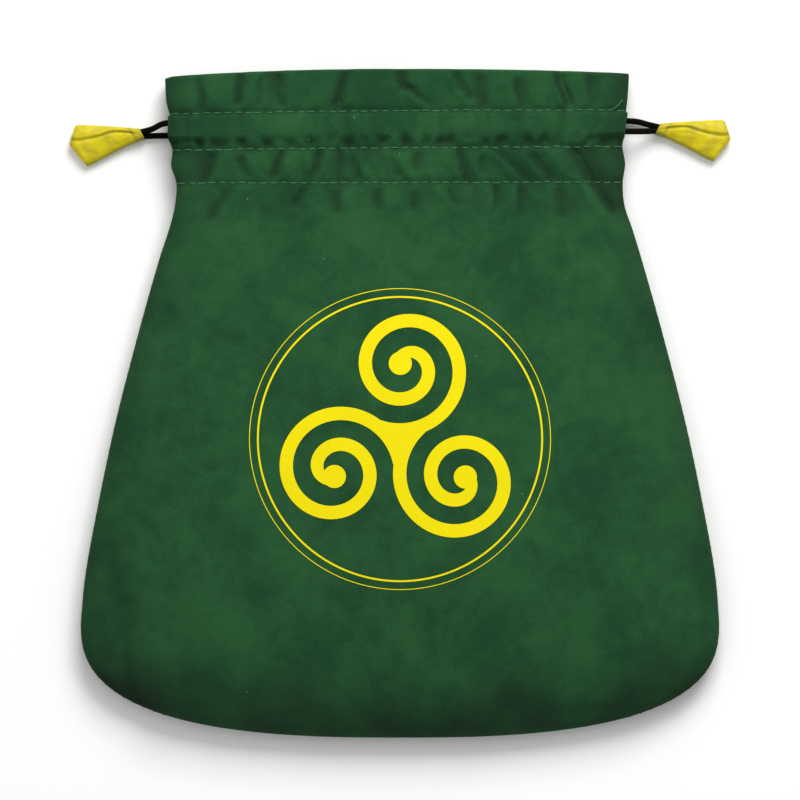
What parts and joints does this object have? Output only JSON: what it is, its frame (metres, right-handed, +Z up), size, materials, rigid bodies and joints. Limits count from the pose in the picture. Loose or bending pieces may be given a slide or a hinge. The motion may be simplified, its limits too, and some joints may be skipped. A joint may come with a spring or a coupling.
{
  "type": "drawstring dice bag",
  "caption": "Flat velvet drawstring bag for dice, with a wide round-cornered body, a stitched cord casing at the mouth, cords that end in folded satin tabs and a printed spiral emblem.",
  "frame": {"origin": "under the middle of the bag's outline, on the surface that the bag lies on", "axes": "+X across the bag to the right as the printed front is seen, +Y from the bottom seam to the mouth, +Z up, out of the printed front"},
  "size_m": [0.2178, 0.22, 0.0262],
  "materials": {
    "green_velvet": "short-pile velvet, dyed green",
    "green_thread": "twisted polyester sewing thread, lighter green",
    "yellow_ink": "opaque screen-printed ink, lying on the pile",
    "black_cord": "2 mm black satin cord",
    "yellow_satin": "folded yellow satin",
    "yellow_thread": "yellow sewing thread"
  },
  "bodies": {
    "bag": {"back_hem": "green_velvet", "back_lower_stitches": "green_thread", "back_middle_stitches": "green_thread", "back_panel": "green_velvet", "back_upper_stitches": "green_thread", "bottom_seam_thread": "green_thread", "front_hem": "green_velvet", "front_lower_stitches": "green_thread", "front_middle_stitches": "green_thread", "front_panel": "green_velvet", "front_thread_tail": "green_thread", "front_upper_stitches": "green_thread", "left_seam_thread": "green_thread", "printed_inner_ring": "yellow_ink", "printed_outer_ring": "yellow_ink", "printed_triskele": "yellow_ink", "right_seam_thread": "green_thread"},
    "left_neck": {"left_header_seam": "green_thread"},
    "right_neck": {"right_header_seam": "green_thread"},
    "left_pull": {"left_drawcord": "black_cord", "left_knot": "black_cord", "left_tab": "yellow_satin", "left_tab_tack": "yellow_thread"},
    "right_pull": {"right_drawcord": "black_cord", "right_knot": "black_cord", "right_tab": "yellow_satin", "right_tab_tack": "yellow_thread"}
  },
  "joints": [
    {"name": "left_pull_slide", "type": "slide", "parent": "bag", "child": "left_pull", "axis": [-1, 0, 0], "range_m": [0, 0.04], "deforming": ["left_drawcord"]},
    {"name": "right_pull_slide", "type": "slide", "parent": "bag", "child": "right_pull", "axis": [1, 0, 0], "range_m": [0, 0.04], "deforming": ["right_drawcord"]},
    {"name": "left_neck_gather", "type": "slide", "parent": "bag", "child": "left_neck", "axis": [1, 0, 0], "range_m": [0, 0.04]},
    {"name": "right_neck_gather", "type": "slide", "parent": "bag", "child": "right_neck", "axis": [-1, 0, 0], "range_m": [0, 0.04]}
  ],
  "couplings": [
    {"joint": "right_pull_slide", "follows": "left_pull_slide", "ratio": 1},
    {"joint": "left_neck_gather", "follows": "left_pull_slide", "ratio": 1},
    {"joint": "right_neck_gather", "follows": "left_pull_slide", "ratio": 1}
  ]
}
